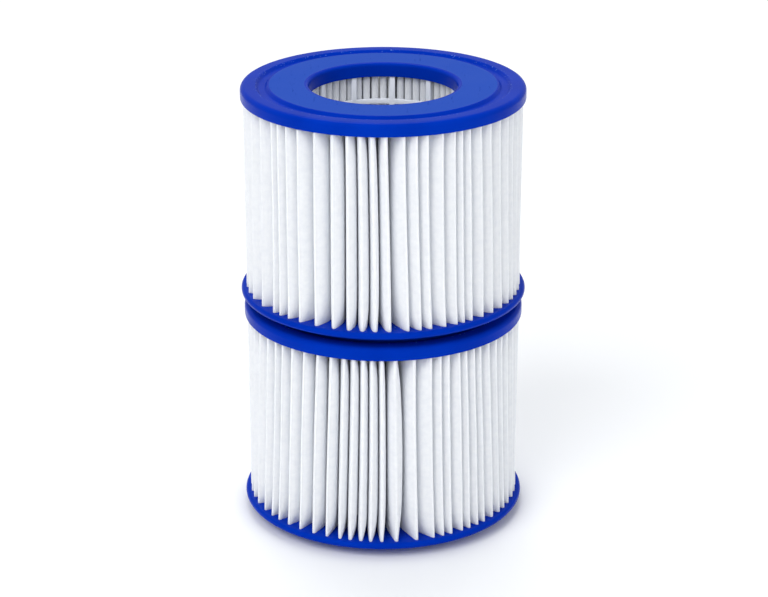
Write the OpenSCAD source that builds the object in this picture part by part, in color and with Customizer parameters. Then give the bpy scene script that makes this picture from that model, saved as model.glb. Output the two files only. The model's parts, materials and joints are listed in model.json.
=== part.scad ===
// Two round pleated filter cartridges for a spa or small pool, standing one
// on the other. Each has two cast end caps, a ring of pleated fleece with a
// glued closing seam, and a moulded cage that holds the pleats off the bore.
// Millimetres. Z runs up the common axis, and Z = 0 is the surface that the
// lower cartridge stands on.

/* [Cartridge] */
// Diameter over the bottom cap, the widest part
overall_d = 106; // [100:1:130]
// Height of one cartridge
cartridge_h = 83; // [60:1:200]
// Diameter of the bore through both caps
bore_d = 54; // [44:1:56]
// Rounding where each bore meets an outer face
bore_edge_r = 1.3; // [0.5:0.1:2]

/* [Top cap] */
// How much narrower the top cap is than the bottom cap, on each side
top_inset = 1; // [0:0.5:2]
// Height of the top cap's outer rim
rim_h = 4.8; // [4:0.1:7]
// Rounding of the rim's upper outer edge
rim_edge_r = 1.8; // [0.5:0.1:2]
// Width of the raised rim outside the groove
rim_w = 5.6; // [4:0.1:7]
// Width of the groove between the rim and the inner land, at its mouth
groove_w = 4.5; // [3:0.1:5]
// Depth of that groove
groove_depth = 1.2; // [0.6:0.1:2]
// How far each of the groove's walls slopes in
groove_slope = 1.1; // [0:0.1:1.4]

/* [Bottom cap] */
// Height of the flange round the pleat feet
flange_h = 2.5; // [2.5:0.1:4]
// Rounding of the flange's upper edge
flange_top_r = 1.2; // [0.4:0.1:1.2]
// Rounding of the flange's lower edge
flange_edge_r = 1.2; // [0.4:0.1:1.2]
// Height of the narrower foot under the flange
foot_h = 3.6; // [2:0.1:5]
// How far the foot is set in from the flange
foot_inset = 8; // [6:0.5:12]

/* [Casting, in both caps] */
// How deep the fleece is cast into each cap
fleece_cast = 1.5; // [1:0.1:2]
// How deep the cage's rib ends are cast into each cap
rib_cast = 2; // [1:0.1:2.5]
// How far the collar round the bore reaches past the cap's inner face
collar_reach = 0.5; // [0.1:0.1:1]
// Wall of that collar
collar_t = 2; // [1.8:0.1:2.2]

/* [Pleated media] */
// Number of pleats
pleats = 60; // [40:2:64]
// How far the outer folds stay inside the top cap's edge
fold_inset = 0.9; // [0.6:0.1:3]
// Thickness of the fleece
fleece_t = 0.5; // [0.4:0.05:0.6]
// Half of a pleat's width at its outer fold
fold_half_w = 1.7; // [1.2:0.1:1.8]
// Half of the gap at the bottom of a valley
valley_half_w = 0.35; // [0.2:0.05:0.4]
// Share of one valley's depth that the seam glue fills
seam_fill = 0.3; // [0.1:0.05:0.6]

/* [Core cage] */
// Number of upright ribs
ribs = 12; // [6:1:16]
// Number of hoops
hoops = 5; // [2:1:6]
// Radial thickness of the cage
cage_t = 1; // [0.8:0.1:1]
// Width of a rib
rib_w = 2; // [1.5:0.1:3]
// Height of a hoop
hoop_h = 2; // [1.5:0.1:3]
// How far the cage stands back from the bore
cage_setback = 0.6; // [0.4:0.1:0.8]
// Distance from each outer face to the middle of the nearest hoop
hoop_from_face = 15; // [12:0.5:20]
// Turn of the first rib about the axis
cage_turn = 23; // [0:1:30]

/* [Hidden] */
$fn = 144;

cap_blue = [0.02, 0.22, 0.78];
fleece_white = [0.93, 0.94, 0.96];
cage_white = [0.84, 0.86, 0.90];
glue_amber = [0.90, 0.87, 0.74];

bore_r = bore_d / 2;
collar_r = bore_r + collar_t;
flange_r = overall_d / 2;
rim_r = flange_r - top_inset;
rim_in_r = rim_r - rim_w;
land_r = rim_in_r - groove_w;
foot_r = flange_r - foot_inset;
fold_r = rim_r - fold_inset;
small_edge_r = 0.4;
rim_z = cartridge_h - rim_h;
floor_z = foot_h + flange_h;
media_z0 = floor_z - fleece_cast;
media_z1 = rim_z + fleece_cast;
valley_r = collar_r + 0.1;
pitch = 360 / pleats;
valley_turn = 90 + pitch / 2;
cage_in_r = bore_r + cage_setback;
cage_out_r = cage_in_r + cage_t;
rib_z0 = floor_z + collar_reach - rib_cast;
rib_z1 = rim_z - collar_reach + rib_cast;

// A point at radius r and angle a
function polar(r, a) = [r * cos(a), r * sin(a)];

// The point a share f of the way from p to q
function between(p, q, f) = p + (q - p) * f;

// Half the angle that a half-width w covers at radius r
function half_angle(r, w) = asin(w / r);

// Points on an arc round (x, y) from angle a0 to angle a1
function arc(x, y, r, a0, a1, steps = 6) =
    [for (i = [0:steps]) [x, y] + polar(r, a0 + (a1 - a0) * i / steps)];

// The four corners of one fold: in from the valley, out to the fold, back again
function fold(a, in_r, out_r, in_half, out_half) = [
    polar(in_r, a - pitch / 2 + half_angle(in_r, in_half)),
    polar(out_r, a - half_angle(out_r, out_half)),
    polar(out_r, a + half_angle(out_r, out_half)),
    polar(in_r, a + pitch / 2 - half_angle(in_r, in_half))
];

// One closed face of the folded fleece
function fold_ring(in_r, out_r, in_half, out_half) = [
    for (i = [0:pleats - 1])
        for (p = fold(valley_turn + i * pitch, in_r, out_r, in_half, out_half)) p
];

// Half section of the top cap: land, groove and rim above, flat below
module top_cap_section() {
    polygon(concat(
        [[bore_r, rim_z - collar_reach]],
        arc(bore_r + bore_edge_r, cartridge_h - bore_edge_r, bore_edge_r, 180, 90),
        [[land_r, cartridge_h], [land_r + groove_slope, cartridge_h - groove_depth]],
        [[rim_in_r - groove_slope, cartridge_h - groove_depth], [rim_in_r, cartridge_h]],
        arc(rim_r - rim_edge_r, cartridge_h - rim_edge_r, rim_edge_r, 90, 0),
        arc(rim_r - small_edge_r, rim_z + small_edge_r, small_edge_r, 0, -90),
        [[collar_r, rim_z], [collar_r, rim_z - collar_reach]]
    ));
}

// Half section of the bottom cap: flat above, flange and narrower foot below
module bottom_cap_section() {
    polygon(concat(
        arc(bore_r + bore_edge_r, bore_edge_r, bore_edge_r, -90, -180),
        [[bore_r, floor_z + collar_reach], [collar_r, floor_z + collar_reach]],
        [[collar_r, floor_z]],
        arc(flange_r - flange_top_r, floor_z - flange_top_r, flange_top_r, 90, 0),
        arc(flange_r - flange_edge_r, foot_h + flange_edge_r, flange_edge_r, 0, -90),
        [[foot_r, foot_h]],
        arc(foot_r - small_edge_r, small_edge_r, small_edge_r, 0, -90)
    ));
}

// Upright ribs of the cage, which run into both caps
module cage_ribs() {
    intersection() {
        difference() {
            translate([0, 0, rib_z0]) cylinder(r = cage_out_r, h = rib_z1 - rib_z0);
            translate([0, 0, rib_z0 - 1]) cylinder(r = cage_in_r, h = rib_z1 - rib_z0 + 2);
        }
        union() {
            for (i = [0:ribs - 1])
                rotate(cage_turn + i * 360 / ribs)
                    translate([0, -rib_w / 2, rib_z0]) cube([cage_out_r + 1, rib_w, rib_z1 - rib_z0]);
        }
    }
}

// Hoops that tie the ribs together
module cage_hoops() {
    hoop_step = (cartridge_h - 2 * hoop_from_face) / (hoops - 1);
    for (i = [0:hoops - 1])
        translate([0, 0, hoop_from_face + i * hoop_step - hoop_h / 2])
            difference() {
                cylinder(r = cage_out_r, h = hoop_h);
                translate([0, 0, -1]) cylinder(r = cage_in_r, h = hoop_h + 2);
            }
}

// Fleece folded into a ring of pleats, open in every valley and every fold
module folded_fleece() {
    translate([0, 0, media_z0]) linear_extrude(media_z1 - media_z0) difference() {
        polygon(fold_ring(valley_r + fleece_t, fold_r, valley_half_w, fold_half_w));
        polygon(fold_ring(valley_r, fold_r - fleece_t, valley_half_w + fleece_t,
                          fold_half_w - fleece_t));
    }
}

module top_cap() {
    color(cap_blue) difference() {
        rotate_extrude() top_cap_section();
        cage_ribs();
        folded_fleece();
    }
}

module bottom_cap() {
    color(cap_blue) difference() {
        rotate_extrude() bottom_cap_section();
        cage_ribs();
        folded_fleece();
    }
}

module pleated_media() {
    color(fleece_white) folded_fleece();
}

// Glue that closes the ring, in the bottom of the rearmost valley
module seam_glue() {
    left = fold(90 - pitch / 2, valley_r + fleece_t, fold_r, valley_half_w, fold_half_w);
    right = fold(90 + pitch / 2, valley_r + fleece_t, fold_r, valley_half_w, fold_half_w);
    color(glue_amber)
        translate([0, 0, floor_z]) linear_extrude(rim_z - floor_z)
            polygon([left[3], between(left[3], left[2], seam_fill),
                     between(right[0], right[1], seam_fill), right[0]]);
}

// Cage that keeps the pleats open and off the bore
module core_cage() {
    color(cage_white) union() {
        cage_ribs();
        cage_hoops();
    }
}

module upper() {
    translate([0, 0, cartridge_h]) children();
}

upper() top_cap();  // upper_top_cap
upper() bottom_cap();  // upper_bottom_cap
upper() pleated_media();  // upper_pleated_media
upper() seam_glue();  // upper_seam_glue
upper() core_cage();  // upper_core_cage
top_cap();  // lower_top_cap
bottom_cap();  // lower_bottom_cap
pleated_media();  // lower_pleated_media
seam_glue();  // lower_seam_glue
core_cage();  // lower_core_cage
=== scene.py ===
"""A pair of round pleated filter cartridges, one standing on the other.

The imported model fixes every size. This script makes the pieces that show: for the
lower cartridge and again for the upper one, two cast caps, a ring of folded fleece,
the cage inside the ring, and the glue that closes it.
"""

from __future__ import annotations

import json
import logging
import math
import random
from collections.abc import Sequence
from dataclasses import dataclass, replace
from enum import Enum

import bpy
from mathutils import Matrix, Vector

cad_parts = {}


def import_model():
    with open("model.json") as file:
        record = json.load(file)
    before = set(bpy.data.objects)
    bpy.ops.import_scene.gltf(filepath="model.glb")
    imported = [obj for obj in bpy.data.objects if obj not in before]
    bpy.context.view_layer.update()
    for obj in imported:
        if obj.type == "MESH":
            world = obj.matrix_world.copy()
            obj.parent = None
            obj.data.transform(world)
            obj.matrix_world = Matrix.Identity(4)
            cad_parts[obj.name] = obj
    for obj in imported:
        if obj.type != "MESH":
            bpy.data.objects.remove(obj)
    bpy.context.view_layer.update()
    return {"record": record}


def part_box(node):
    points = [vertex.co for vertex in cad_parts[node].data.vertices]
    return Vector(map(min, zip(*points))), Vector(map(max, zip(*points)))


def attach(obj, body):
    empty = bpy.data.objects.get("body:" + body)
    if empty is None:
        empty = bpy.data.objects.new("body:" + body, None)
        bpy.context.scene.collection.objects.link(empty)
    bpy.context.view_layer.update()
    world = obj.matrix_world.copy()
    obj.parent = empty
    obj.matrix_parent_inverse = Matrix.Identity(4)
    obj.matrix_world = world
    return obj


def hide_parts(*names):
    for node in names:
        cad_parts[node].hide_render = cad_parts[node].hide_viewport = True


LOG = logging.getLogger("filter_cartridges")

MM = 0.001
AIM = (0.3 * MM, 0.0, 82.15 * MM)  # where the camera and the lamps point

# Bearings about Z, in degrees
FULL_TURN = 360.0
FRONT = 270.0
BACK = 90.0

# How finely the caps are turned, and the angle past which their edges are rounded
CAP_STEPS = 160
CAP_SHARP = 38.0

Point = tuple[float, float]
Span = tuple[float, float]
Colour = tuple[float, float, float]
Scale = tuple[float, float, float]


# ---------------------------------------- small helpers


def mix(a: float, b: float, share: float) -> float:
    """Returns the value a share of the way from a to b."""
    return a + (b - a) * share


def clamp(value: float, low: float = 0.0, high: float = 1.0) -> float:
    """Returns value, kept between low and high."""
    return max(low, min(high, value))


def arc(centre: Point, radius: float, start: float, end: float, steps: int = 5) -> list[Point]:
    """Walks round part of a circle in the plane of a section.

    Args:
        centre: the circle's centre, as distance from the axis and height.
        radius: the circle's radius in metres.
        start: the first point's angle in degrees.
        end: the last point's angle in degrees.
        steps: how many straight pieces stand for the arc.

    Returns:
        The points in order, the first and last among them.
    """
    angles = (math.radians(mix(start, end, i / steps)) for i in range(steps + 1))
    return [(centre[0] + radius * math.cos(a), centre[1] + radius * math.sin(a)) for a in angles]


def polar(radius: float, degrees: float, height: float) -> Vector:
    """Returns the point at a radius, a bearing about Z in degrees, and a height."""
    angle = math.radians(degrees)
    return Vector((radius * math.cos(angle), radius * math.sin(angle), height))


class Level(Enum):
    """Which of the two stacked cartridges a piece belongs to."""

    LOWER = "lower"
    UPPER = "upper"

    @property
    def body(self) -> str:
        """The body that this cartridge's pieces ride on."""
        return f"{self.value}_cartridge"

    def node(self, piece: str) -> str:
        """Returns the name of one of this cartridge's nodes."""
        return f"{self.value}_{piece}"


@dataclass(frozen=True)
class CartridgeSizes:
    """One cartridge's main sizes in metres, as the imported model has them."""

    level: Level
    base_z: float
    floor_z: float
    ceiling_z: float
    top_z: float
    bore_r: float
    rim_r: float
    flange_r: float
    fold_r: float
    fleece_z: Span
    cage_z: Span
    cage_r: float
    glue_r: Span
    glue_half_w: float

    @classmethod
    def from_frame(cls, level: Level, record: dict) -> CartridgeSizes:
        """Measures one cartridge's nodes.

        Args:
            level: which cartridge to measure.
            record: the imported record, whose bore mount gives the bore.

        Returns:
            The sizes that every piece of the cartridge is made to.
        """
        top_low, top_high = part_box(level.node("top_cap"))
        base_low, base_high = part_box(level.node("bottom_cap"))
        fleece_low, fleece_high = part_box(level.node("pleated_media"))
        cage_low, cage_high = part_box(level.node("core_cage"))
        glue_low, glue_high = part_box(level.node("seam_glue"))
        bore = next(m for m in record["mounts"] if m["name"] == "top_bore")
        return cls(
            level=level,
            base_z=base_low.z,
            floor_z=glue_low.z,
            ceiling_z=glue_high.z,
            top_z=top_high.z,
            bore_r=bore["dims"]["r_mm"] * MM,
            rim_r=top_high.x,
            flange_r=base_high.x,
            fold_r=fleece_high.x,
            fleece_z=(fleece_low.z, fleece_high.z),
            cage_z=(cage_low.z, cage_high.z),
            cage_r=cage_high.x,
            glue_r=(glue_low.y, glue_high.y),
            glue_half_w=(glue_high.x - glue_low.x) / 2,
        )


# ---------------------------------------- meshes


def make_piece(
    name: str,
    points: Sequence[Vector],
    faces: Sequence[Sequence[int]] = (),
    edges: Sequence[Sequence[int]] = (),
) -> bpy.types.Object:
    """Makes a smooth-shaded mesh object at the origin.

    Args:
        name: the piece's name.
        points: its vertices in the shared frame.
        faces: its faces, as vertex numbers.
        edges: its loose edges, as pairs of vertex numbers.

    Returns:
        The new object, linked to the scene.
    """
    mesh = bpy.data.meshes.new(name)
    mesh.from_pydata([tuple(p) for p in points], list(edges), list(faces))
    mesh.polygons.foreach_set("use_smooth", [True] * len(mesh.polygons))
    piece = bpy.data.objects.new(name, mesh)
    bpy.context.scene.collection.objects.link(piece)
    return piece


def add_modifier(piece: bpy.types.Object, kind: str, **settings: object) -> None:
    """Adds one modifier to a piece.

    Args:
        piece: the object to add it to.
        kind: Blender's name for the modifier's type.
        settings: the modifier's settings by name.
    """
    modifier = piece.modifiers.new(kind.title(), kind)
    for name, value in settings.items():
        setattr(modifier, name, value)


def subdivide(piece: bpy.types.Object, levels: int) -> None:
    """Adds a subdivision surface with the same level on screen and in a render."""
    add_modifier(piece, "SUBSURF", levels=levels, render_levels=levels)


def round_edges(piece: bpy.types.Object, width: float, threshold: float) -> None:
    """Rounds a piece's sharp edges.

    Args:
        piece: the object whose edges are rounded.
        width: width of the rounding in metres.
        threshold: the angle in degrees past which an edge is rounded.
    """
    angle = math.radians(threshold)
    add_modifier(piece, "BEVEL", width=width, segments=2, limit_method="ANGLE", angle_limit=angle)


def turn_section(name: str, section: Sequence[Point], edge: float) -> bpy.types.Object:
    """Turns a closed section about Z and rounds what stays sharp.

    Args:
        name: the piece's name.
        section: points as distance from the axis and height, running down the outside.
        edge: width of the rounding in metres.

    Returns:
        The piece, with its modifiers live.
    """
    points = [Vector((r, 0.0, z)) for r, z in section]
    count = len(points)
    piece = make_piece(name, points, edges=[(i, (i + 1) % count) for i in range(count)])
    add_modifier(
        piece,
        "SCREW",
        steps=CAP_STEPS,
        render_steps=CAP_STEPS,
        use_merge_vertices=True,
        merge_threshold=0.001 * MM,
        use_smooth_shade=True,
    )
    round_edges(piece, edge, CAP_SHARP)
    add_modifier(piece, "WEIGHTED_NORMAL", keep_sharp=False, weight=60)
    return piece


def ring_faces(rings: int, count: int) -> list[tuple[int, ...]]:
    """Joins closed rings of points, one above the other, with four-sided faces.

    Args:
        rings: how many rings.
        count: how many points in each.

    Returns:
        The faces in order round each ring, from the lowest ring up.
    """
    faces = []
    for low in range(0, (rings - 1) * count, count):
        high = low + count
        for i in range(count):
            after = (i + 1) % count
            faces.append((low + i, low + after, high + after, high + i))
    return faces


# ---------------------------------------- shader maths


class Signal:
    """A number that varies over a surface, with the operators of arithmetic."""

    def __init__(self, graph: ShaderGraph, socket: bpy.types.NodeSocket) -> None:
        """Wraps an output socket of a graph."""
        self.graph = graph
        self.socket = socket

    def _math(self, operation: str, *operands: object) -> Signal:
        """Adds one Math node and returns its result."""
        inputs = dict(enumerate(operands))
        return self.graph.add("ShaderNodeMath", {"operation": operation}, inputs).out()

    def __add__(self, other: object) -> Signal:
        """Returns this plus other."""
        return self._math("ADD", self, other)

    def __radd__(self, other: object) -> Signal:
        """Returns other plus this."""
        return self._math("ADD", other, self)

    def __sub__(self, other: object) -> Signal:
        """Returns this minus other."""
        return self._math("SUBTRACT", self, other)

    def __rsub__(self, other: object) -> Signal:
        """Returns other minus this."""
        return self._math("SUBTRACT", other, self)

    def __mul__(self, other: object) -> Signal:
        """Returns this times other."""
        return self._math("MULTIPLY", self, other)

    def __rmul__(self, other: object) -> Signal:
        """Returns other times this."""
        return self._math("MULTIPLY", other, self)

    def between(self, low: float, high: float) -> Signal:
        """Returns a smooth step that is 0 at low and 1 at high.

        Args:
            low: where the step starts.
            high: where it ends, which may be below low for a falling step.

        Returns:
            The step, kept from 0 to 1.
        """
        inputs = {"Value": self, "From Min": low, "From Max": high}
        node = self.graph.add("ShaderNodeMapRange", {"interpolation_type": "SMOOTHSTEP"}, inputs)
        return node.out("Result")


class ShaderStep:
    """One node of a graph, whose outputs are taken by name or number."""

    def __init__(self, graph: ShaderGraph, node: bpy.types.Node) -> None:
        """Wraps a node."""
        self.graph = graph
        self.node = node

    def out(self, which: str | int = 0) -> Signal:
        """Returns one of the node's outputs."""
        return Signal(self.graph, self.node.outputs[which])


class ShaderGraph:
    """A material under construction."""

    def __init__(self, name: str) -> None:
        """Starts a material with a Principled surface and nothing linked to it.

        Args:
            name: the material's name.
        """
        self.material = bpy.data.materials.new(name)
        self.material.use_nodes = True
        self.tree = self.material.node_tree
        self.tree.nodes.clear()
        self.surface = self.add("ShaderNodeBsdfPrincipled")
        output = self.add("ShaderNodeOutputMaterial")
        self.tree.links.new(self.surface.node.outputs[0], output.node.inputs["Surface"])

    def add(
        self,
        kind: str,
        settings: dict[str, object] | None = None,
        inputs: dict[str | int, object] | None = None,
    ) -> ShaderStep:
        """Adds one node.

        Args:
            kind: Blender's name for the node's type.
            settings: its own settings, such as a Math node's operation.
            inputs: values or signals for its sockets, by name or number.

        Returns:
            The node, ready to take outputs from.
        """
        node = self.tree.nodes.new(kind)
        for name, value in (settings or {}).items():
            setattr(node, name, value)
        for name, value in (inputs or {}).items():
            if isinstance(value, Signal):
                self.tree.links.new(value.socket, node.inputs[name])
            else:
                node.inputs[name].default_value = value
        return ShaderStep(self, node)

    def place(self) -> Signal:
        """Returns the place on the piece, in metres."""
        return self.add("ShaderNodeTexCoord").out("Object")

    def scaled(self, vector: Signal, scale: Scale) -> Signal:
        """Returns a vector times a scale for each axis."""
        node = self.add("ShaderNodeVectorMath", {"operation": "MULTIPLY"}, {0: vector, 1: scale})
        return node.out()

    def noise(
        self, vector: Signal, scale: float, detail: float = 2.0, roughness: float = 0.5
    ) -> Signal:
        """Returns soft noise from 0 to 1.

        Args:
            vector: where the noise is read.
            scale: how many features go into one unit of the vector.
            detail: how many finer layers are added.
            roughness: how strong those are.

        Returns:
            The noise.
        """
        inputs = {"Vector": vector, "Scale": scale, "Detail": detail, "Roughness": roughness}
        return self.add("ShaderNodeTexNoise", {}, inputs).out("Fac")

    def radius(self, vector: Signal) -> Signal:
        """Returns the distance of a point from the Z axis."""
        flat = self.scaled(vector, (1.0, 1.0, 0.0))
        return self.add("ShaderNodeVectorMath", {"operation": "LENGTH"}, {0: flat}).out("Value")

    def blend(self, share: Signal, first: object, second: object) -> Signal:
        """Mixes two colours.

        Args:
            share: 0 for the first colour and 1 for the second.
            first: a colour or a signal.
            second: a colour or a signal.

        Returns:
            The mixed colour.
        """
        a = first if isinstance(first, Signal) else (*first, 1.0)
        b = second if isinstance(second, Signal) else (*second, 1.0)
        node = self.add("ShaderNodeMix", {"data_type": "RGBA"}, {0: share, 6: a, 7: b})
        return node.out(2)

    def bump(self, height: Signal, distance: float) -> Signal:
        """Returns a normal that a height from 0 to 1 bends, distance metres deep."""
        inputs = {"Height": height, "Distance": distance, "Strength": 1.0}
        return self.add("ShaderNodeBump", {}, inputs).out()

    def set_surface(self, **inputs: object) -> None:
        """Sets or links the surface's sockets.

        Args:
            inputs: a value or a signal for each socket, named with _ for a space.
        """
        for name, value in inputs.items():
            socket = self.surface.node.inputs[name.replace("_", " ")]
            if isinstance(value, Signal):
                self.tree.links.new(value.socket, socket)
            else:
                socket.default_value = value


# ---------------------------------------- finishes


@dataclass(frozen=True)
class CastPlastic:
    """Blue plastic as cast: satin, with a duller land painted lighter as a painted sheen, and small
    nicks on the edges painted light, partly wear and partly painted glint.
    """

    name: str = "cast_blue_plastic"
    blue: Colour = (0.0003, 0.0300, 0.4100)
    deep_blue: Colour = (0.0002, 0.0260, 0.3700)
    # lighter blue for the land: a painted sheen standing in for the reflection off its satin face
    land_sheen_blue: Colour = (0.0110, 0.0640, 0.4200)
    # light specks on the groove edge: nicks in the plastic, painted light as the glint they catch
    nick_glint: Colour = (0.1800, 0.3200, 0.7200)
    scuff: Colour = (0.0030, 0.0300, 0.2600)
    land: Span = (28.4 * MM, 41.6 * MM)
    # radii of the groove edge where the nick specks are painted, partly wear and partly painted glint
    nick_glint_edge: Span = (45.4 * MM, 47.6 * MM)
    nick_glint_fade: float = 0.7 * MM
    cloud_scale: float = 60.0
    grain_scale: float = 2600.0
    nick_glint_scale: float = 1500.0
    scuff_scale: Scale = (900.0, 120.0, 900.0)
    bump_depth: float = 0.015 * MM
    specular_level: float = 0.04
    specular_tint: Colour = (0.04, 0.25, 1.0)

    def material(self) -> bpy.types.Material:
        """Makes the material.

        Returns:
            A material that reads the place on the piece, in metres.
        """
        graph = ShaderGraph(self.name)
        place = graph.place()
        radius = graph.radius(place)
        inner, outer = self.land
        on_land = radius.between(inner, inner + 0.5 * MM) * radius.between(outer, outer - 0.3 * MM)
        clouds = graph.noise(place, self.cloud_scale, 3.0)
        grain = graph.noise(place, self.grain_scale, 2.0)
        scuffs = graph.noise(graph.scaled(place, self.scuff_scale), 1.0, 3.0, 0.6)
        scuffed = scuffs.between(0.62, 0.74) * on_land
        colour = graph.blend(clouds.between(0.35, 0.7), self.blue, self.deep_blue)
        # painted sheen: the land is painted lighter in place of the reflection off its face
        colour = graph.blend(on_land, colour, self.land_sheen_blue)
        colour = graph.blend(0.6 * scuffed, colour, self.scuff)
        # nicks along the groove edge, painted as light specks: partly wear, partly painted glint
        near, far = self.nick_glint_edge
        edge = radius.between(near, near + self.nick_glint_fade) * radius.between(far, far - self.nick_glint_fade)
        nick_glints = graph.noise(place, self.nick_glint_scale, 2.0).between(0.64, 0.7) * edge
        colour = graph.blend(0.7 * nick_glints, colour, self.nick_glint)
        roughness = 0.20 + 0.10 * clouds + 0.16 * on_land + 0.12 * scuffed
        height = 0.5 * grain * (0.4 + 0.6 * on_land) + 0.5 * (1 - scuffed * 0.6)
        graph.set_surface(
            Base_Color=colour,
            Roughness=roughness,
            Normal=graph.bump(height, self.bump_depth),
            Specular_IOR_Level=self.specular_level,
            Specular_Tint=(*self.specular_tint, 1.0),
        )
        return graph.material


@dataclass(frozen=True)
class Fleece:
    """White non-woven polyester: matt, cloudy, with a fine mat of fibres."""

    name: str = "white_fleece"
    bright: Colour = (0.905, 0.925, 0.965)
    thin: Colour = (0.850, 0.875, 0.930)
    map_name: str = "cloth"
    cloud_scale: float = 420.0
    long_fibre_scale: Scale = (5200.0, 900.0, 1.0)
    cross_fibre_scale: Scale = (900.0, 4600.0, 1.0)
    crease_scale: Scale = (260.0, 70.0, 1.0)
    bump_depth: float = 0.03 * MM
    glow_share: float = 0.7
    glow_depth: float = 1.5 * MM

    def material(self) -> bpy.types.Material:
        """Makes the material.

        Returns:
            A material that reads the flat cloth's own map, in metres.
        """
        graph = ShaderGraph(self.name)
        cloth = graph.add("ShaderNodeUVMap", {"uv_map": self.map_name}).out()
        clouds = graph.noise(cloth, self.cloud_scale, 4.0, 0.6)
        long_fibres = graph.noise(graph.scaled(cloth, self.long_fibre_scale), 1.0, 3.0, 0.7)
        cross_fibres = graph.noise(graph.scaled(cloth, self.cross_fibre_scale), 1.0, 3.0, 0.7)
        mat = 0.5 * long_fibres + 0.5 * cross_fibres
        colour = graph.blend(clouds.between(0.3, 0.75), self.bright, self.thin)
        creases = graph.noise(graph.scaled(cloth, self.crease_scale), 1.0, 2.0)
        height = 0.35 * mat + 0.25 * clouds + 0.4 * creases
        graph.set_surface(
            Base_Color=colour,
            Roughness=0.82 + 0.12 * mat,
            Normal=graph.bump(height, self.bump_depth),
            Subsurface_Weight=self.glow_share,
            Subsurface_Radius=(1.0, 1.0, 1.0),
            Subsurface_Scale=self.glow_depth,
        )
        return graph.material


@dataclass(frozen=True)
class MouldedCage:
    """Milky plastic of the inner cage."""

    name: str = "milky_plastic"
    milky: Colour = (0.860, 0.885, 0.930)
    shade: Colour = (0.800, 0.830, 0.890)
    flow_scale: Scale = (300.0, 300.0, 60.0)
    grain_scale: float = 3000.0
    bump_depth: float = 0.02 * MM

    def material(self) -> bpy.types.Material:
        """Makes the material.

        Returns:
            A material that reads the place on the piece, in metres.
        """
        graph = ShaderGraph(self.name)
        place = graph.place()
        flow = graph.noise(graph.scaled(place, self.flow_scale), 1.0, 3.0)
        grain = graph.noise(place, self.grain_scale, 1.0)
        graph.set_surface(
            Base_Color=graph.blend(flow, self.milky, self.shade),
            Roughness=0.35 + 0.15 * flow,
            Normal=graph.bump(0.6 * flow + 0.4 * grain, self.bump_depth),
        )
        return graph.material


@dataclass(frozen=True)
class SeamResin:
    """Waxy glue, clearer where it is thin."""

    name: str = "waxy_glue"
    waxy: Colour = (0.780, 0.730, 0.560)
    clear: Colour = (0.850, 0.830, 0.740)
    lump_scale: float = 700.0
    bump_depth: float = 0.05 * MM

    def material(self) -> bpy.types.Material:
        """Makes the material.

        Returns:
            A material that reads the place on the piece, in metres.
        """
        graph = ShaderGraph(self.name)
        lumps = graph.noise(graph.place(), self.lump_scale, 3.0)
        graph.set_surface(
            Base_Color=graph.blend(lumps, self.waxy, self.clear),
            Roughness=0.22 + 0.2 * lumps,
            Normal=graph.bump(lumps, self.bump_depth),
        )
        return graph.material


@dataclass(frozen=True)
class StudioFloor:
    """Pale matt sheet that the pair stands on."""

    name: str = "pale_floor"
    pale: Colour = (0.93, 0.935, 0.94)
    paler: Colour = (0.95, 0.953, 0.956)
    drift_scale: float = 3.0

    def material(self) -> bpy.types.Material:
        """Makes the material.

        Returns:
            A material that reads the place on the floor, in metres.
        """
        graph = ShaderGraph(self.name)
        drift = graph.noise(graph.place(), self.drift_scale, 1.0)
        graph.set_surface(Base_Color=graph.blend(drift, self.pale, self.paler), Roughness=0.9)
        return graph.material


# ---------------------------------------- the cartridge's pieces


@dataclass
class CartridgePiece:
    """What every piece of a cartridge shares: its sizes, its finish and its place."""

    sizes: CartridgeSizes
    finish: bpy.types.Material
    node: str = ""
    slot: str = ""

    def make(self) -> bpy.types.Object:
        """Makes the piece's mesh. Each kind of piece has its own."""
        raise NotImplementedError

    def build(self) -> bpy.types.Object:
        """Makes the piece, dresses it, and sets it on its body.

        Returns:
            The finished object.
        """
        piece = self.make()
        piece.data.materials.append(self.finish)
        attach(piece, self.sizes.level.body)
        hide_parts(self.sizes.level.node(self.node))
        return piece

    def name(self, words: str) -> str:
        """Returns a piece name with the cartridge's own prefix."""
        return f"{self.sizes.level.value}_{words}"


@dataclass
class Cap(CartridgePiece):
    """What both caps share: the bore's rounded mouth, and the collar inside the fleece."""

    slot: str = "cap"
    bore_edge: float = 1.3 * MM
    foot_edge: float = 0.4 * MM
    collar_w: float = 2.0 * MM
    collar_reach: float = 0.5 * MM
    rounding: float = 0.2 * MM

    def section(self) -> list[Point]:
        """Draws the cap's half section. Each kind of cap has its own."""
        raise NotImplementedError

    def make(self) -> bpy.types.Object:
        """Turns the cap's section into its shell."""
        return turn_section(self.name(f"{self.node}_shell"), self.section(), self.rounding)


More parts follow.
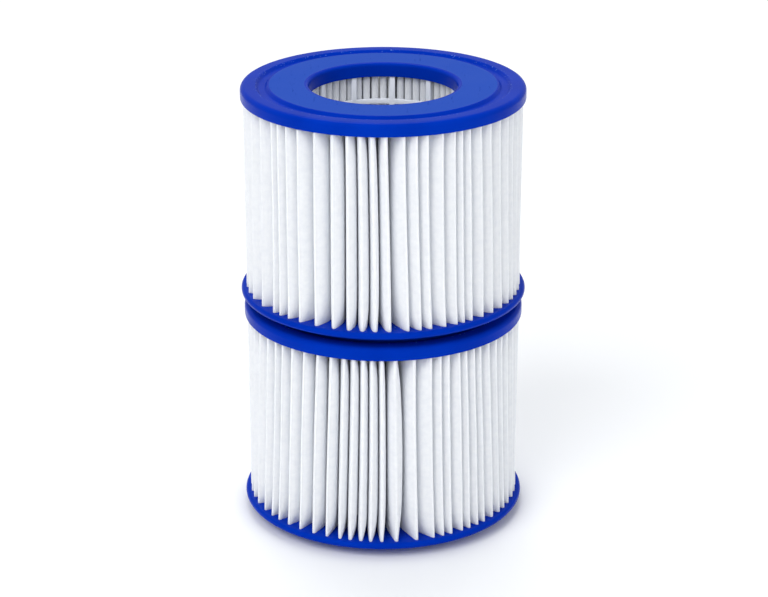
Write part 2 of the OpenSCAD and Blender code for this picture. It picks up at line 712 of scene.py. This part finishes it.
@dataclass
class TopCap(Cap):
    """Cap with an inner land, a sloped groove and an outer rim."""

    node: str = "top_cap"
    rounding: float = 0.28 * MM
    rim_w: float = 5.6 * MM
    rim_edge: float = 1.8 * MM
    groove_w: float = 4.5 * MM
    groove_depth: float = 1.2 * MM
    groove_slope: float = 1.1 * MM

    def section(self) -> list[Point]:
        """Draws the cap's half section.

        Returns:
            The points, running down the outside and up the bore.
        """
        s = self.sizes
        top, under = s.top_z, s.ceiling_z
        rim_in = s.rim_r - self.rim_w
        land = rim_in - self.groove_w
        low = top - self.groove_depth
        bore_centre = (s.bore_r + self.bore_edge, top - self.bore_edge)
        rim_centre = (s.rim_r - self.rim_edge, top - self.rim_edge)
        foot_centre = (s.rim_r - self.foot_edge, under + self.foot_edge)
        return [
            (s.bore_r, under - self.collar_reach),
            *arc(bore_centre, self.bore_edge, 180, 90, steps=6),
            (land, top),
            (land + self.groove_slope, low),
            (rim_in - self.groove_slope, low),
            (rim_in, top),
            *arc(rim_centre, self.rim_edge, 90, 0, steps=7),
            *arc(foot_centre, self.foot_edge, 0, -90, steps=3),
            (s.bore_r + self.collar_w, under),
            (s.bore_r + self.collar_w, under - self.collar_reach),
        ]


@dataclass
class BottomCap(Cap):
    """Cap with a rounded flange round the pleats' feet and a narrower foot."""

    node: str = "bottom_cap"
    flange_top: float = 1.2 * MM
    flange_edge: float = 1.2 * MM
    foot_h: float = 3.6 * MM
    foot_inset: float = 8.0 * MM

    def section(self) -> list[Point]:
        """Draws the cap's half section.

        Returns:
            The points, running down the outside and up the bore.
        """
        s = self.sizes
        under = s.base_z + self.foot_h
        foot_r = s.flange_r - self.foot_inset
        top_centre = (s.flange_r - self.flange_top, s.floor_z - self.flange_top)
        edge_centre = (s.flange_r - self.flange_edge, under + self.flange_edge)
        foot_centre = (foot_r - self.foot_edge, s.base_z + self.foot_edge)
        bore_centre = (s.bore_r + self.bore_edge, s.base_z + self.bore_edge)
        return [
            (s.bore_r, s.floor_z + self.collar_reach),
            (s.bore_r + self.collar_w, s.floor_z + self.collar_reach),
            (s.bore_r + self.collar_w, s.floor_z),
            *arc(top_centre, self.flange_top, 90, 0),
            *arc(edge_centre, self.flange_edge, 0, -90),
            (foot_r, under),
            *arc(foot_centre, self.foot_edge, 0, -90, steps=3),
            *arc(bore_centre, self.bore_edge, -90, -180, steps=6),
        ]


@dataclass(frozen=True)
class PleatLayout:
    """How one cartridge's pleats are spread round the ring.

    The front pleats' places are given at their feet, in degrees from the front: the
    first one, and then the steps from each to the next, left to right. The rest share
    what is left. Higher up the pleats lean sideways by twist, and by fan at the sides.
    A parting is a wide valley: its bearing from the front, and how far along it lies from
    the fold on its left to the one on its right. The pleats lie over away from the first
    parting, fully near it and not at all past lie_end degrees from it. Notch is the depth
    of the gap between two feet, and foot is what half a foot's width has over its nose's.
    """

    seed: int
    count: int
    first: float
    steps: tuple[float, ...]
    partings: tuple[Point, ...]
    twist: float
    fan: float
    notch: float
    foot: float
    step_range: Span = (0.72, 1.3)
    parting_reach: float = 2.0
    lie_over: float = 0.34
    lie_end: float = 95.0
    lie_fade: float = 15.0
    looseness: float = 0.05
    wave: float = 0.25
    waves_round: float = 7.0
    wave_climb: float = 4.5

    def tips(self) -> list[float]:
        """Works out the bearing of each pleat's outer fold at its foot.

        Returns:
            The bearings in degrees, from the glued valley at the back right round.
        """
        dice = random.Random(self.seed)
        front = [FRONT + self.first]
        for step in self.steps:
            front.append(front[-1] + step)
        end = BACK + FULL_TURN
        rest = self.count - len(front)
        before = round(rest * (front[0] - BACK) / (front[0] - BACK + end - front[-1]))
        left = self._spread(dice, before, front[0] - BACK)
        right = self._spread(dice, rest - before, end - front[-1])
        return [
            *(BACK + place for place in left),
            *front,
            *(end - place for place in reversed(right)),
        ]

    def _spread(self, dice: random.Random, count: int, span: float) -> list[float]:
        """Places pleats unevenly along a span that starts half a pleat before the first.

        Args:
            dice: the source of the unevenness.
            count: how many pleats.
            span: the span in degrees, up to the next pleat after them.

        Returns:
            Their places, measured from the start of the span.
        """
        weights = [0.5, *(dice.uniform(*self.step_range) for _ in range(count))]
        places = [0.0]
        for weight in weights:
            places.append(places[-1] + span * weight / sum(weights))
        return places[1:-1]

    def parting(self, bearing: float) -> float | None:
        """Finds the parting at a bearing.

        Args:
            bearing: the middle between two folds.

        Returns:
            How far along the parting's valley lies, or None away from the partings.
        """
        for place, share in self.partings:
            if abs(bearing - FRONT - place) < self.parting_reach:
                return share
        return None

    def lie(self, bearing: float, dice: random.Random) -> float:
        """Finds how far along a valley lies from the fold on its left to the next.

        Args:
            bearing: the middle between the two folds.
            dice: the source of the unevenness.

        Returns:
            The share, over half where the pleats lie over to the left.
        """
        loose = dice.uniform(-self.looseness, self.looseness)
        parted = self.parting(bearing)
        if parted is not None:
            return parted
        side = bearing - FRONT - self.partings[0][0]
        over = self.lie_over * clamp((self.lie_end - abs(side)) / self.lie_fade)
        return 0.5 + loose - math.copysign(over, side)

    def lean(self, bearing: float, share: float) -> float:
        """Finds how far a fold stands aside from its foot.

        Args:
            bearing: the fold's bearing at its foot.
            share: how far up the fold, from 0 to 1.

        Returns:
            The lean in degrees.
        """
        side = bearing - FRONT
        phase = math.radians(self.waves_round * side) + self.wave_climb * share
        turned = self.twist + self.fan * math.sin(math.radians(side))
        return self.wave * math.sin(phase) - share * turned


LAYOUTS = {
    Level.UPPER: PleatLayout(
        seed=11,
        count=60,
        first=-69.0,
        steps=(9.5, 8.5, 4.0, 5.0, 6.0, 8.0, 8.0, 6.5, 5.5, 5.0, 5.5, 7.5, 5.0, 4.5, 6.5,
               5.5, 3.5, 4.0, 6.0, 6.0, 6.5, 6.0, 5.0),
        partings=((-0.5, 0.5), (6.0, 0.2)),
        twist=1.2,
        fan=2.6,
        notch=6.5 * MM,
        foot=0.4 * MM,
    ),
    Level.LOWER: PleatLayout(
        seed=23,
        count=60,
        first=-50.0,
        steps=(6.0, 6.5, 7.0, 6.5, 6.0, 4.5, 4.5, 4.0, 4.5, 6.0, 8.5, 7.5, 4.5, 4.0, 5.5,
               4.0, 4.5, 4.0, 5.5, 5.5, 4.5),
        partings=((2.5, 0.35), (10.0, 0.62)),
        twist=-0.2,
        fan=6.0,
        notch=8.5 * MM,
        foot=0.1 * MM,
    ),
}


@dataclass(frozen=True)
class Valley:
    """The valley between two pleats: its bearings outside and inside, and half its gap.

    Near the caps it opens into a notch, this deep. The notch closes again over a height
    of rise for each metre of the pleat's half width.
    """

    outer: float
    inner: float
    half_gap: float
    rise: float
    notch: float


@dataclass(frozen=True)
class Pleat:
    """One pleat: its fold, its two valleys, its reach, and half the width of its nose."""

    tip: float
    before: Valley
    after: Valley
    reach: float
    nose: float


@dataclass
class FoldedFleece(CartridgePiece):
    """Ring of fleece folded into pleats that belly out between their cast ends.

    Rows are the net's heights above each cast end, and depths its places in from the
    outer fold. Ranges are the limits of a random draw.
    """

    node: str = "pleated_media"
    slot: str = "fleece"
    thickness: float = 0.5 * MM
    valley_r: float = 29.35 * MM
    valley_half_w: float = 1.26 * MM
    evenness: float = 0.95
    bulge_depth: float = 4.8 * MM
    rise_to_width: float = 2.7
    cast: float = 1.5 * MM
    rows: tuple[float, ...] = (2.5 * MM, 6.5 * MM, 12.5 * MM)
    depths: tuple[float, ...] = (0.9 * MM, 2.4 * MM, 5.5 * MM, 12.0 * MM, 19.0 * MM)
    gap_range: Span = (0.251 * MM, 0.262 * MM)
    rise_range: Span = (0.8, 1.2)
    notch_range: Span = (0.85, 1.15)
    nose_range: Span = (0.26 * MM, 0.42 * MM)
    reach_range: Span = (-0.35 * MM, 0.0)
    reach_height: float = 12.0 * MM
    parted_gap: float = 0.28 * MM
    parted_rise: float = 2.2
    parted_notch: float = 12.0 * MM
    corner_depths: Span = (0.02 * MM, 0.3 * MM)
    corner_share: float = 0.6
    valley_round: Point = (0.12 * MM, 0.05 * MM)
    valley_out: float = 0.35

    def make(self) -> bpy.types.Object:
        """Makes the ring as a coarse net, then smooths it and gives it its thickness.

        Returns:
            The ring, mapped as the flat strip.
        """
        heights = self._heights()
        pleats = self._pleats()
        rings = [[p for pleat in pleats for p in self._outline(pleat, z)] for z in heights]
        points = [p for ring in rings for p in ring]
        faces = ring_faces(len(rings), len(rings[0]))
        piece = make_piece(self.name("folded_fleece"), points, faces)
        self._map_cloth(piece, rings[len(rings) // 2], heights)
        subdivide(piece, 1)
        add_modifier(piece, "SOLIDIFY", thickness=self.thickness, offset=0.0)
        return piece

    def build(self) -> bpy.types.Object:
        """Returns:
            The finished object.
        """
        piece = super().build()
        s = self.sizes
        length = LAYOUTS[s.level].count * 2 * (s.fold_r - self.valley_r + self.valley_half_w)
        caps = [s.level.node("bottom_cap")]
        return piece

    def _heights(self) -> list[float]:
        """Spaces the net's heights, closest together where the pleats are pinched.

        Returns:
            The heights, from the lower cast end up.
        """
        low, high = self.sizes.fleece_z
        near = [0.0, self.cast, *(self.cast + row for row in self.rows)]
        return [*(low + h for h in near), (low + high) / 2, *(high - h for h in reversed(near))]

    def _valleys(self, tips: Sequence[float], dice: random.Random) -> list[Valley]:
        """Draws the valleys, the glued one first and again at the end.

        Args:
            tips: the bearings of the outer folds.
            dice: the source of the unevenness.

        Returns:
            One valley more than there are pleats.
        """
        layout = LAYOUTS[self.sizes.level]
        round_again = BACK + FULL_TURN
        pairs = list(zip(tips, tips[1:]))
        middles = [(a + b) / 2 for a, b in pairs]
        shares = [layout.lie(middle, dice) for middle in middles]
        edges = [mix(a, b, share) for (a, b), share in zip(pairs, shares)]
        valleys = []
        places = zip([BACK, *edges, round_again], [BACK, *middles, round_again])
        for number, (edge, middle) in enumerate(places):
            inner = mix(edge, BACK + FULL_TURN * number / layout.count, self.evenness)
            parted = layout.parting(middle) is not None
            gap = self.parted_gap if parted else dice.uniform(*self.gap_range)
            rise = self.parted_rise if parted else dice.uniform(*self.rise_range)
            notch = self.parted_notch if parted else layout.notch * dice.uniform(*self.notch_range)
            valleys.append(Valley(edge, inner, gap, self.rise_to_width * rise, notch))
        valleys[-1] = replace(valleys[0], outer=round_again, inner=round_again)
        return valleys

    def _pleats(self) -> list[Pleat]:
        """Draws each pleat's place and quirks.

        Returns:
            The pleats, from the glued valley at the back right round.
        """
        layout = LAYOUTS[self.sizes.level]
        dice = random.Random(layout.seed + 1)
        tips = layout.tips()
        valleys = self._valleys(tips, dice)
        pleats = []
        for tip, before, after in zip(tips, valleys, valleys[1:]):
            nose = dice.uniform(*self.nose_range)
            reach = dice.uniform(*self.reach_range)
            pleats.append(Pleat(tip, before, after, reach, nose))
        return pleats

    def _outline(self, pleat: Pleat, z: float) -> list[Vector]:
        """Draws one pleat's section at one height.

        Args:
            pleat: the pleat.
            z: the height in metres.

        Returns:
            The points from the valley on its right-hand side to just before the next.
        """
        s = self.sizes
        clear = max(0.0, min(z - s.floor_z, s.ceiling_z - z))
        tip_r = s.fold_r - self.thickness / 2 + pleat.reach * clamp(clear / self.reach_height)
        near, far = self.corner_depths
        corner = [(tip_r - near, pleat.nose * self.corner_share), (tip_r - far, pleat.nose)]
        valley_depth, valley_widening = self.valley_round
        sides = []
        for valley, sign in ((pleat.before, -1), (pleat.after, 1)):
            side = list(corner)
            for depth in self.depths:
                half = self._half_width(pleat, valley, depth, tip_r, z, clear)
                side.append((tip_r - depth, half))
            inner_r = self.valley_r + valley_depth
            half = self._half_width(pleat, valley, tip_r - inner_r, tip_r, z, clear)
            side.append((inner_r, half + valley_widening))
            sides.append([(r, sign * w) for r, w in side])
        path = [*reversed(sides[0]), (tip_r, 0.0), *sides[1]]
        ring = [polar(self.valley_r, self._valley_bearing(pleat.before, 0.0, z), z)]
        for r, w in path:
            bearing = self._middle(pleat, self._share_out(r), z) + math.degrees(w / r)
            ring.append(polar(r, bearing, z))
        return ring

    def _half_width(
        self, pleat: Pleat, valley: Valley, depth: float, tip_r: float, z: float, clear: float
    ) -> float:
        """Finds how far a pleat's flank stands from its middle.

        Args:
            pleat: the pleat.
            valley: the valley on the flank's side.
            depth: how far in from the outer fold, in metres.
            tip_r: the outer fold's radius.
            z: the height.
            clear: the height's distance from the nearer cap.

        Returns:
            The distance in metres.
        """
        r = tip_r - depth
        out = self._share_out(r)
        cell = abs(self._middle(pleat, out, z) - self._valley_bearing(valley, out, z))
        room = math.radians(cell) * r
        gap = mix(self.valley_half_w, valley.half_gap, clamp(out / self.valley_out))
        full = room - gap
        swell = 1 - (1 - clamp(depth / self.bulge_depth)) ** 2
        bellied = mix(pleat.nose, full, swell)
        foot = min(pleat.nose + LAYOUTS[self.sizes.level].foot, full)
        pinched = mix(foot, full, clamp(depth / valley.notch) ** 2)
        rise = valley.rise * room / clamp(out, 0.5)
        belly = 1 - (1 - clamp(clear / rise)) ** 2
        return mix(pinched, bellied, belly)

    def _share_out(self, r: float) -> float:
        """Returns 0 for a radius at the valleys and 1 at the outer folds."""
        return clamp((r - self.valley_r) / (self.sizes.fold_r - self.valley_r))

    def _leaning(self, bearing: float, out: float, z: float) -> float:
        """Returns a bearing with the lean that it has at a height, none at the valleys."""
        low, high = self.sizes.fleece_z
        return bearing + out * LAYOUTS[self.sizes.level].lean(bearing, (z - low) / (high - low))

    def _valley_bearing(self, valley: Valley, out: float, z: float) -> float:
        """Returns the bearing of a valley's middle, a share of the way out."""
        return self._leaning(mix(valley.inner, valley.outer, out), out, z)

    def _middle(self, pleat: Pleat, out: float, z: float) -> float:
        """Returns the bearing of a pleat's middle, a share of the way out."""
        inner = (pleat.before.inner + pleat.after.inner) / 2
        return self._leaning(mix(inner, pleat.tip, out), out, z)

    @staticmethod
    def _map_cloth(
        piece: bpy.types.Object, ring: Sequence[Vector], heights: Sequence[float]
    ) -> None:
        """Gives the fleece a map of the flat strip, in metres.

        Args:
            piece: the fleece.
            ring: the net's points round one height, which set the places along the strip.
            heights: the net's heights, which set the places across it.
        """
        count = len(ring)
        along = [0.0]
        for i in range(count):
            along.append(along[-1] + (ring[(i + 1) % count] - ring[i]).length)
        layer = piece.data.uv_layers.new(name=Fleece.map_name)
        for face in piece.data.polygons:
            row, column = divmod(face.index, count)
            corners = ((0, 0), (1, 0), (1, 1), (0, 1))
            for loop, (right, up) in zip(face.loop_indices, corners):
                layer.data[loop].uv = (along[column + right], heights[row + up])


@dataclass
class CoreCage(CartridgePiece):
    """Cage of upright ribs and hoops behind the inner folds."""

    node: str = "core_cage"
    slot: str = "cage"
    wall: float = 1.0 * MM
    ribs: int = 12
    rib_w: float = 2.0 * MM
    first_rib: float = 23.0
    hoops: int = 5
    hoop_h: float = 2.0 * MM
    hoop_from_face: float = 15.0 * MM
    window_steps: int = 6
    rounding: float = 0.25 * MM
    sharp: float = 50.0

    def make(self) -> bpy.types.Object:
        """Makes the cage as a pierced sheet, then gives it its wall and soft edges.

        Returns:
            The cage.
        """
        s = self.sizes
        radius = s.cage_r - self.wall / 2
        half = math.degrees(self.rib_w / 2 / radius)
        window = FULL_TURN / self.ribs - 2 * half
        bearings = []
        on_rib = []
        for rib in range(self.ribs):
            middle = self.first_rib + rib * FULL_TURN / self.ribs
            bearings += [middle - half, middle]
            on_rib += [True, True]
            for step in range(self.window_steps):
                bearings.append(middle + half + window * step / self.window_steps)
                on_rib.append(False)
        levels = self._levels()
        points = [polar(radius, b, z) for z in levels for b in bearings]
        count = len(bearings)
        faces = [
            face
            for place, face in enumerate(ring_faces(len(levels), count))
            if on_rib[place % count] or place // count % 2
        ]
        used = sorted({v for face in faces for v in face})
        number = {v: n for n, v in enumerate(used)}
        faces = [tuple(number[v] for v in face) for face in faces]
        piece = make_piece(self.name("core_cage_moulding"), [points[v] for v in used], faces)
        add_modifier(piece, "SOLIDIFY", thickness=self.wall, offset=0.0)
        round_edges(piece, self.rounding, self.sharp)
        return piece

    def _levels(self) -> list[float]:
        """Works out where the hoops start and stop.

        Returns:
            The heights from the ribs' lower ends to their upper ones, both among them.
        """
        s = self.sizes
        low = s.base_z + self.hoop_from_face
        high = s.top_z - self.hoop_from_face
        levels = [s.cage_z[0]]
        for hoop in range(self.hoops):
            middle = mix(low, high, hoop / (self.hoops - 1))
            levels += [middle - self.hoop_h / 2, middle + self.hoop_h / 2]
        return [*levels, s.cage_z[1]]


@dataclass
class SeamGlue(CartridgePiece):
    """Bead of glue that closes the ring, in the bottom of the rearmost valley."""

    node: str = "seam_glue"
    slot: str = "glue"
    rows: int = 26
    seed: int = 7
    lump: float = 1.6 * MM
    narrowest: float = 0.8
    face_share: float = 0.7
    shoulder: float = 0.6

    def make(self) -> bpy.types.Object:
        """Makes the bead as a lumpy bar, then smooths it.

        Returns:
            The bead, closed at both ends.
        """
        s = self.sizes
        dice = random.Random(self.seed)
        inner, outer = s.glue_r
        rings = []
        for row in range(self.rows + 1):
            z = mix(s.floor_z, s.ceiling_z, row / self.rows)
            face = outer - dice.uniform(0.0, self.lump)
            half = s.glue_half_w * dice.uniform(self.narrowest, 1.0)
            flat = half * self.face_share
            widest = mix(inner, face, self.shoulder)
            rings.append([
                Vector((-flat, inner, z)),
                Vector((flat, inner, z)),
                Vector((half, widest, z)),
                Vector((flat, face, z)),
                Vector((-flat, face, z)),
                Vector((-half, widest, z)),
            ])
        count = len(rings[0])
        points = [p for ring in rings for p in ring]
        faces = ring_faces(len(rings), count)
        last = self.rows * count
        faces += [tuple(reversed(range(count))), tuple(range(last, last + count))]
        piece = make_piece(self.name("seam_glue_bead"), points, faces)
        subdivide(piece, 2)
        return piece


@dataclass
class Cartridge:
    """One whole cartridge."""

    sizes: CartridgeSizes
    plastic: bpy.types.Material
    fleece: bpy.types.Material
    cage: bpy.types.Material
    glue: bpy.types.Material

    def build(self) -> list[bpy.types.Object]:
        """Builds the cartridge from the inside out.

        Returns:
            Its pieces.
        """
        parts = [
            CoreCage(self.sizes, self.cage),
            FoldedFleece(self.sizes, self.fleece),
            SeamGlue(self.sizes, self.glue),
            BottomCap(self.sizes, self.plastic),
            TopCap(self.sizes, self.plastic),
        ]
        return [part.build() for part in parts]


# ---------------------------------------- the studio


@dataclass(frozen=True)
class Softbox:
    """One large soft lamp: its bearing and height in degrees, as seen from its target."""

    name: str
    bearing: float
    height: float
    distance: float
    size: float
    power: float

    def build(self, target: Vector) -> None:
        """Hangs the lamp.

        Args:
            target: the point that it is aimed at.
        """
        data = bpy.data.lights.new(self.name, "AREA")
        data.shape = "DISK"
        data.size = self.size
        data.energy = self.power
        lamp = bpy.data.objects.new(self.name, data)
        bpy.context.scene.collection.objects.link(lamp)
        place = polar(self.distance * math.cos(math.radians(self.height)), self.bearing, 0.0)
        lamp.location = target + place
        lamp.location.z += self.distance * math.sin(math.radians(self.height))
        lamp.rotation_euler = (target - lamp.location).to_track_quat("-Z", "Y").to_euler()


SOFTBOXES = (
    Softbox("key_softbox", bearing=236.0, height=44.0, distance=3.0, size=2.2, power=46.0),
    Softbox("fill_softbox", bearing=312.0, height=30.0, distance=3.0, size=2.2, power=18.0),
    Softbox("top_softbox", bearing=95.0, height=65.0, distance=3.0, size=2.0, power=38.0),
)


@dataclass
class Studio:
    """Floor, soft light and camera."""

    target: Vector
    camera_distance: float = 0.8646
    camera_height: float = 21.15
    focal_length: float = 107.86
    sensor: float = 36.0
    sight: Span = (0.01, 20.0)
    floor_size: float = 6.0
    sky: Colour = (0.93, 0.96, 1.0)
    sky_strength: float = 0.5

    def build(self) -> None:
        """Sets up the floor, the light and the camera, in that order."""
        self._floor()
        self._sky()
        for softbox in SOFTBOXES:
            softbox.build(self.target)
        self._camera()
        bpy.context.scene.view_settings.view_transform = "Standard"

    def _floor(self) -> None:
        """Lays the floor."""
        half = self.floor_size / 2
        places = [(-half, -half), (half, -half), (half, half), (-half, half)]
        floor = make_piece("studio_floor", [Vector((x, y, 0.0)) for x, y in places], [(0, 1, 2, 3)])
        floor.data.materials.append(StudioFloor().material())

    def _sky(self) -> None:
        """Lights the scene evenly from all round."""
        world = bpy.data.worlds.new("studio_sky")
        world.use_nodes = True
        background = world.node_tree.nodes["Background"]
        background.inputs["Color"].default_value = (*self.sky, 1.0)
        background.inputs["Strength"].default_value = self.sky_strength
        bpy.context.scene.world = world

    def _camera(self) -> None:
        """Places the camera in front of the pair, looking slightly down."""
        data = bpy.data.cameras.new("camera")
        data.lens = self.focal_length
        data.sensor_width = self.sensor
        data.clip_start, data.clip_end = self.sight
        camera = bpy.data.objects.new("camera", data)
        bpy.context.scene.collection.objects.link(camera)
        angle = math.radians(self.camera_height)
        back = Vector((0.0, -math.cos(angle), math.sin(angle)))
        camera.location = self.target + back * self.camera_distance
        camera.rotation_euler = (-back).to_track_quat("-Z", "Y").to_euler()
        bpy.context.scene.camera = camera


# ---------------------------------------- making it all


def corners(box: tuple[Vector, Vector]) -> list[list[float]]:
    """Returns a box's two corners as plain lists."""
    return [list(corner) for corner in box]


def main() -> None:
    """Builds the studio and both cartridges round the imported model."""
    logging.basicConfig(level=logging.INFO, format="%(name)s: %(message)s")
    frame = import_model()
    plastic = CastPlastic().material()
    fleece = Fleece().material()
    cage = MouldedCage().material()
    glue = SeamResin().material()
    Studio(Vector(AIM)).build()
    for level in Level:
        sizes = CartridgeSizes.from_frame(level, frame["record"])
        for piece in Cartridge(sizes, plastic, fleece, cage, glue).build():
            LOG.info("%s: made", piece.name)


if __name__ == "__main__":
    main()
